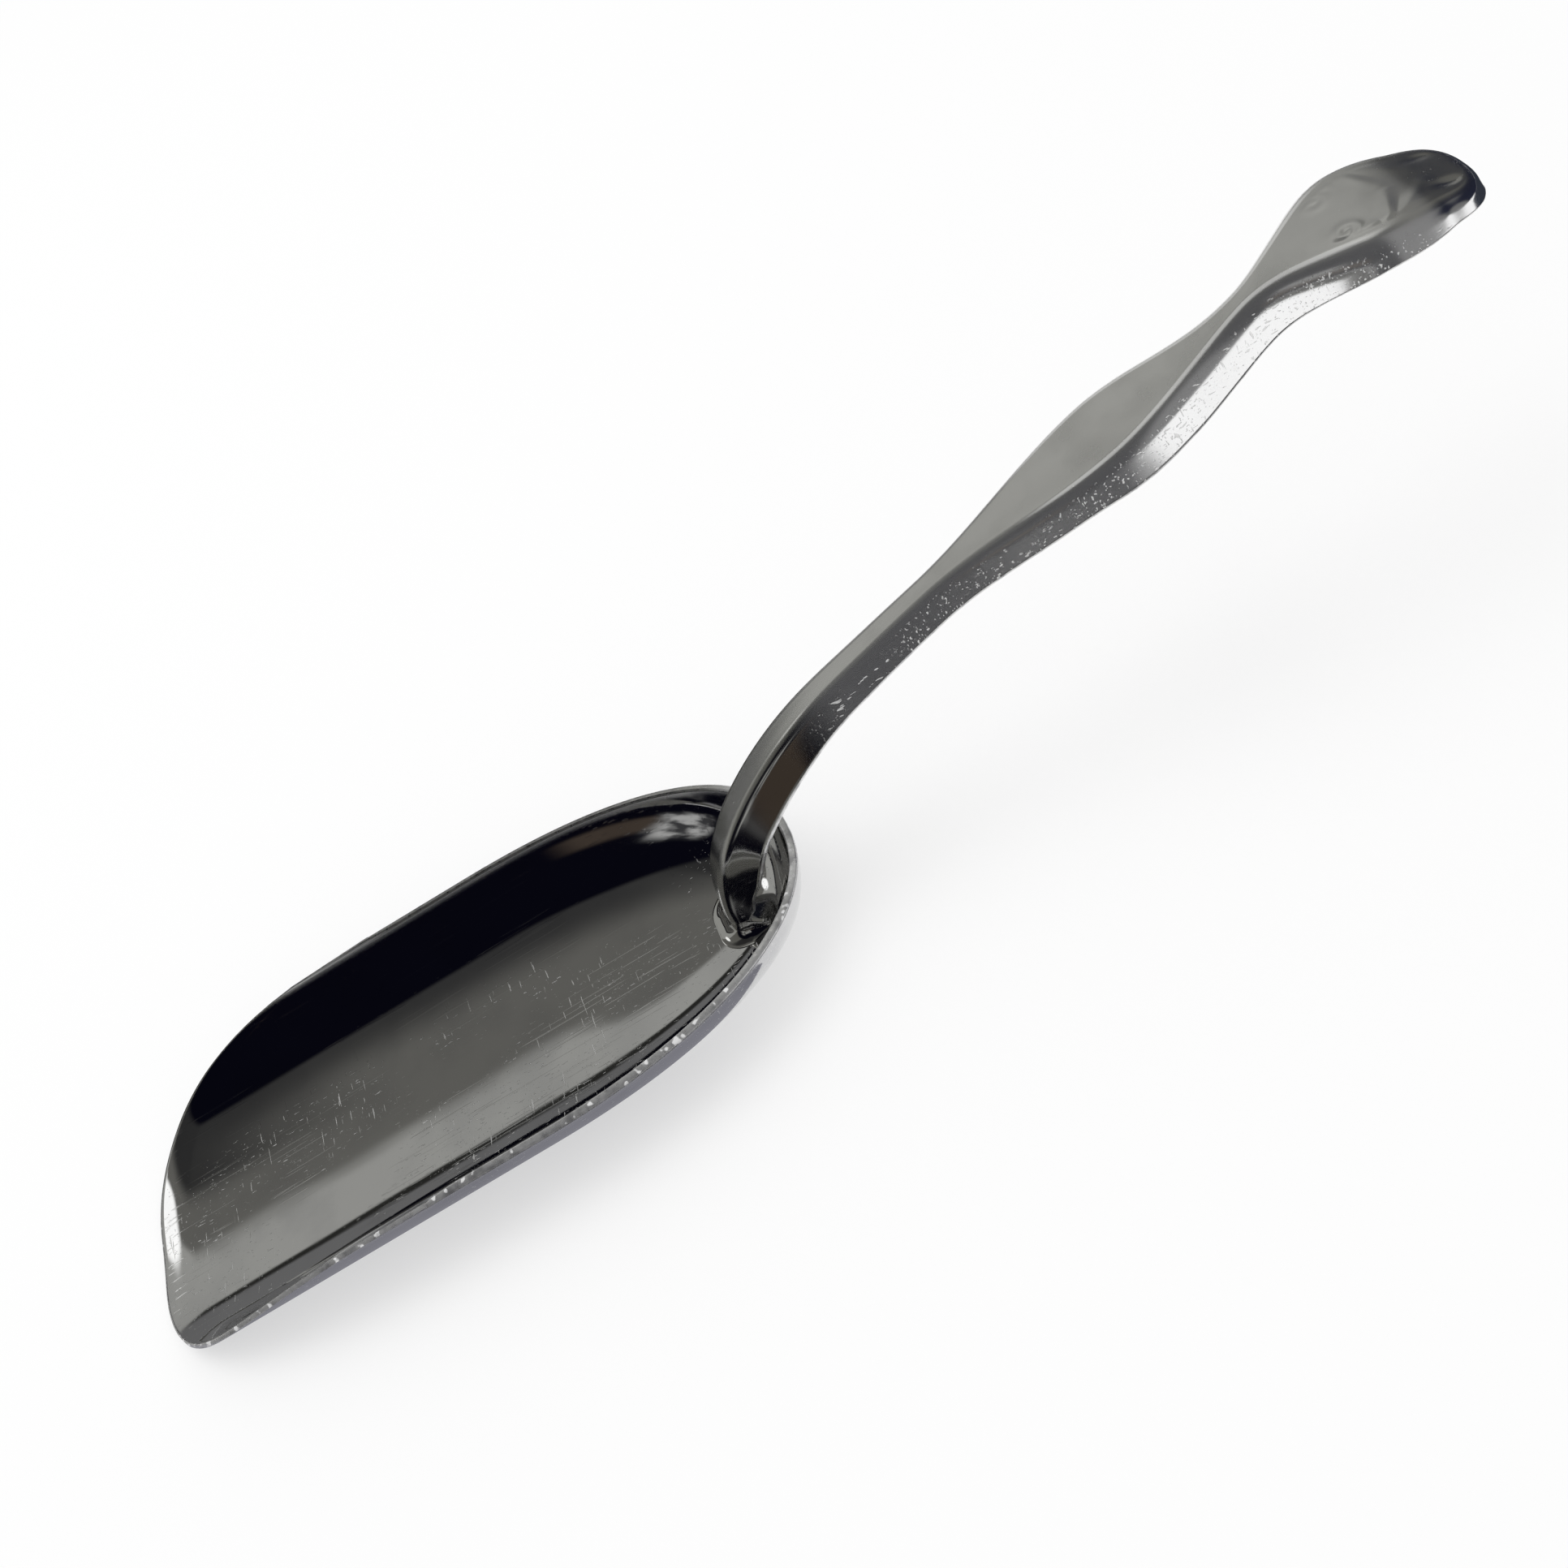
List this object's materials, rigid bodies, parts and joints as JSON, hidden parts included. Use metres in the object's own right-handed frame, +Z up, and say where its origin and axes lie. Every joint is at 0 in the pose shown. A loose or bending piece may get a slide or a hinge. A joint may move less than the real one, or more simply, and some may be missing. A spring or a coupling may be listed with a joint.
{
  "type": "yerba mate scoop",
  "caption": "Polished steel scoop with a shallow open-mouthed trough bowl and a pressed channel handle that rises from the bowl's back and ends in a wide ornamented lobe.",
  "frame": {"origin": "on the underside of the bowl's flat floor, on the middle line, 40 mm behind the lip", "axes": "+X from the mouth to the handle's tip, +Y to the side that is far in the picture, +Z up"},
  "size_m": [0.1883, 0.045, 0.043],
  "materials": {
    "bowl_steel": "mirror polished, with fine scratches on the floor and a bare cut edge",
    "handle_steel": "polished, slightly satin on top, scuffed along the turned-down edges",
    "weld_steel": "ground and polished weld"
  },
  "bodies": {
    "root": {"bowl": "bowl_steel", "handle": "handle_steel", "weld_fillet": "weld_steel"}
  },
  "joints": []
}
